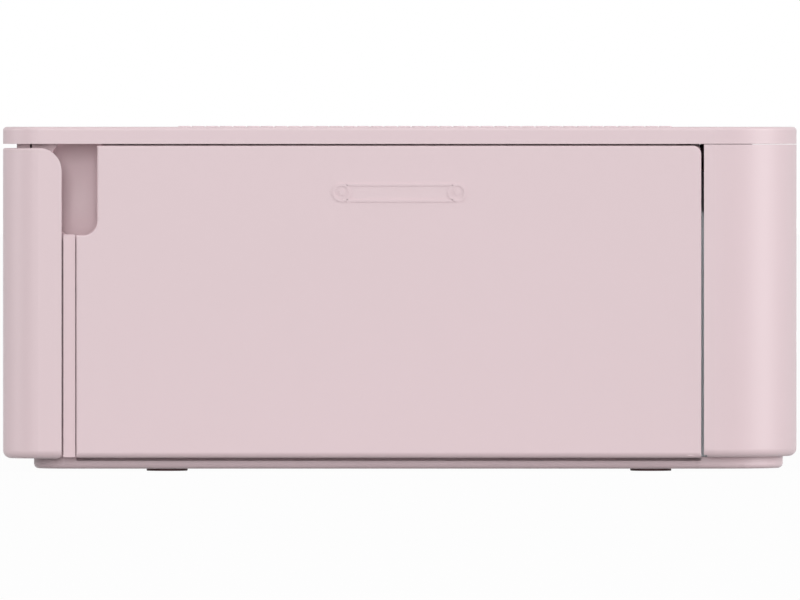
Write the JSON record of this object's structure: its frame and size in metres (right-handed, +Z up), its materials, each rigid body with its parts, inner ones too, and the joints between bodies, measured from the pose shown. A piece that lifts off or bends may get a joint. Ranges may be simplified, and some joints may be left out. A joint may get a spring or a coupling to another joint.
{
  "type": "compact photo printer",
  "caption": "Low box-shaped photo printer with a fold-down front cover, a swing-out side door, keys and a screen on its lid, and a geared roller and thermal head engine inside.",
  "frame": {"origin": "middle of the footprint on the table, at the underside of the rubber feet", "axes": "+Z up, -Y towards the front where paper goes in, +X towards the ink cassette door"},
  "size_m": [0.1822, 0.133, 0.0576],
  "materials": {
    "pink_plastic": "fine spark-eroded grain, pale pink moulded ABS",
    "key_plastic": "smooth pale pink moulded ABS",
    "frame_plastic": "pale pink moulded ABS, satin",
    "black_plastic": "black moulded ABS, satin",
    "screen_glass": "black backed clear panel, polished",
    "display": "dark liquid crystal display, unlit",
    "sheet_steel": "zinc plated sheet, fine rolling lines",
    "shaft_steel": "ground steel",
    "screw_steel": "black oxide",
    "motor_steel": "drawn plated can",
    "socket_metal": "tinned shell",
    "aluminium": "extruded, plain",
    "acetal": "natural acetal",
    "latch": "white acetal",
    "pinion_brass": "hobbed brass",
    "roller_rubber": "ground rubber",
    "foot_rubber": "moulded grey rubber",
    "board": "green solder mask",
    "switch": "black switch domes",
    "head_ceramic": "glazed heating line on a ceramic strip",
    "cassette_plastic": "blue grey moulded polystyrene",
    "ribbon_film": "dark dye film"
  },
  "bodies": {
    "printer": {"base_tray": "pink_plastic", "feet": "foot_rubber", "base_screws": "screw_steel", "housing_shell": "pink_plastic", "front_frame": "frame_plastic", "side_frame": "frame_plastic", "top_cover": "pink_plastic", "screen_window": "screen_glass", "lcd_panel": "display", "button_board": "board", "tact_switches": "switch", "lever_pin": "shaft_steel", "engine_plate_left": "sheet_steel", "engine_plate_right": "sheet_steel", "tie_plate": "sheet_steel", "gearbox_plate": "sheet_steel", "gear_axles": "shaft_steel", "feed_motor": "motor_steel", "ribbon_motor": "motor_steel", "head_pivot_shaft": "shaft_steel", "cassette_shell": "cassette_plastic", "ink_ribbon": "ribbon_film", "paper_guide": "black_plastic", "exit_guide": "black_plastic", "main_board": "board", "card_socket": "socket_metal", "usb_socket": "socket_metal", "dc_jack": "black_plastic"},
    "front_cover": {"front_cover": "pink_plastic", "front_cover_pins": "shaft_steel"},
    "ink_door": {"ink_door": "pink_plastic", "ink_door_pins": "shaft_steel", "door_catch": "latch"},
    "release_lever": {"release_lever": "latch"},
    "head_arm": {"head_arm": "sheet_steel", "heat_sink": "aluminium", "thermal_head": "head_ceramic"},
    "pinch_roller": {"pinch_roller": "shaft_steel"},
    "platen": {"platen_roller": "roller_rubber", "platen_shaft": "shaft_steel"},
    "feed_roller": {"feed_roller": "shaft_steel", "feed_gear": "acetal"},
    "pickup": {"pickup_shaft": "shaft_steel", "pickup_tyres": "roller_rubber", "pickup_gear": "acetal"},
    "rear_idler": {"rear_idler_gear": "acetal"},
    "front_idler": {"front_idler_gear": "acetal"},
    "feed_pinion": {"feed_pinion": "pinion_brass"},
    "ribbon_pinion": {"ribbon_pinion": "pinion_brass"},
    "take_up": {"take_up_gear": "acetal", "take_up_spool": "ribbon_film"},
    "supply": {"supply_spool": "ribbon_film"},
    "power_button": {"power_button": "key_plastic"},
    "menu_button": {"menu_button": "key_plastic"},
    "edit_button": {"edit_button": "key_plastic"},
    "back_button": {"back_button": "key_plastic"},
    "print_button": {"print_button": "key_plastic"},
    "ok_button": {"ok_button": "key_plastic"},
    "navigation_ring": {"navigation_ring": "key_plastic"}
  },
  "joints": [
    {"name": "front_cover_hinge", "type": "hinge", "parent": "printer", "child": "front_cover", "pos_m": [0, -0.064, 0.004], "axis": [1, 0, 0], "range_deg": [0, 90]},
    {"name": "ink_door_hinge", "type": "hinge", "parent": "printer", "child": "ink_door", "pos_m": [0.0893, 0.0485, 0.028], "axis": [0, 0, 1], "range_deg": [0, 95]},
    {"name": "release_lever_tilt", "type": "hinge", "parent": "printer", "child": "release_lever", "pos_m": [0.0856, 0.005, 0.0502], "axis": [0, -1, 0], "range_deg": [0, 15], "stiffness_Nm_per_rad": 0.02, "springref_deg": -11.46},
    {"name": "head_arm_lift", "type": "hinge", "parent": "printer", "child": "head_arm", "pos_m": [0.02, -0.041, 0.042], "axis": [1, 0, 0], "range_deg": [0, 4], "stiffness_Nm_per_rad": 10, "springref_deg": -5.73},
    {"name": "pinch_spin", "type": "hinge", "parent": "head_arm", "child": "pinch_roller", "pos_m": [0.02, 0.013, 0.0237], "axis": [1, 0, 0], "continuous": true},
    {"name": "platen_spin", "type": "hinge", "parent": "printer", "child": "platen", "pos_m": [0.02, 0, 0.0144], "axis": [1, 0, 0], "continuous": true},
    {"name": "feed_spin", "type": "hinge", "parent": "printer", "child": "feed_roller", "pos_m": [-0.04505, 0.013, 0.0166], "axis": [1, 0, 0], "continuous": true},
    {"name": "pickup_spin", "type": "hinge", "parent": "printer", "child": "pickup", "pos_m": [-0.04505, -0.026, 0.0176], "axis": [1, 0, 0], "continuous": true},
    {"name": "rear_idler_spin", "type": "hinge", "parent": "printer", "child": "rear_idler", "pos_m": [-0.04505, -0.00236, 0.01931], "axis": [1, 0, 0], "continuous": true},
    {"name": "front_idler_spin", "type": "hinge", "parent": "printer", "child": "front_idler", "pos_m": [-0.04505, -0.0127, 0.01322], "axis": [1, 0, 0], "continuous": true},
    {"name": "feed_motor_spin", "type": "hinge", "parent": "printer", "child": "feed_pinion", "pos_m": [-0.04505, 0.02735, 0.01534], "axis": [1, 0, 0], "continuous": true},
    {"name": "take_up_spin", "type": "hinge", "parent": "printer", "child": "take_up", "pos_m": [-0.04505, 0.03, 0.0348], "axis": [1, 0, 0], "continuous": true},
    {"name": "ribbon_motor_spin", "type": "hinge", "parent": "printer", "child": "ribbon_pinion", "pos_m": [-0.04505, 0.04579, 0.04055], "axis": [1, 0, 0], "continuous": true},
    {"name": "supply_spin", "type": "hinge", "parent": "printer", "child": "supply", "pos_m": [-0.04505, -0.022, 0.0348], "axis": [1, 0, 0], "continuous": true},
    {"name": "power_press", "type": "slide", "parent": "printer", "child": "power_button", "axis": [0, 0, -1], "range_m": [0, 0.0005], "stiffness_N_per_m": 300, "springref_m": -0.0005},
    {"name": "menu_press", "type": "slide", "parent": "printer", "child": "menu_button", "axis": [0, 0, -1], "range_m": [0, 0.0005], "stiffness_N_per_m": 300, "springref_m": -0.0005},
    {"name": "edit_press", "type": "slide", "parent": "printer", "child": "edit_button", "axis": [0, 0, -1], "range_m": [0, 0.0005], "stiffness_N_per_m": 300, "springref_m": -0.0005},
    {"name": "back_press", "type": "slide", "parent": "printer", "child": "back_button", "axis": [0, 0, -1], "range_m": [0, 0.0005], "stiffness_N_per_m": 300, "springref_m": -0.0005},
    {"name": "print_press", "type": "slide", "parent": "printer", "child": "print_button", "axis": [0, 0, -1], "range_m": [0, 0.0005], "stiffness_N_per_m": 300, "springref_m": -0.0005},
    {"name": "ok_press", "type": "slide", "parent": "printer", "child": "ok_button", "axis": [0, 0, -1], "range_m": [0, 0.0005], "stiffness_N_per_m": 300, "springref_m": -0.0005},
    {"name": "navigation_ring_press", "type": "slide", "parent": "printer", "child": "navigation_ring", "axis": [0, 0, -1], "range_m": [0, 0.0005], "stiffness_N_per_m": 300, "springref_m": -0.0005}
  ],
  "couplings": [
    {"joint": "feed_motor_spin", "follows": "feed_spin", "ratio": -2},
    {"joint": "rear_idler_spin", "follows": "feed_spin", "ratio": -1.6},
    {"joint": "front_idler_spin", "follows": "feed_spin", "ratio": 1.6},
    {"joint": "pickup_spin", "follows": "feed_spin", "ratio": -1.2},
    {"joint": "ribbon_motor_spin", "follows": "take_up_spin", "ratio": -2.5},
    {"joint": "supply_spin", "follows": "take_up_spin", "ratio": 0.68421}
  ]
}
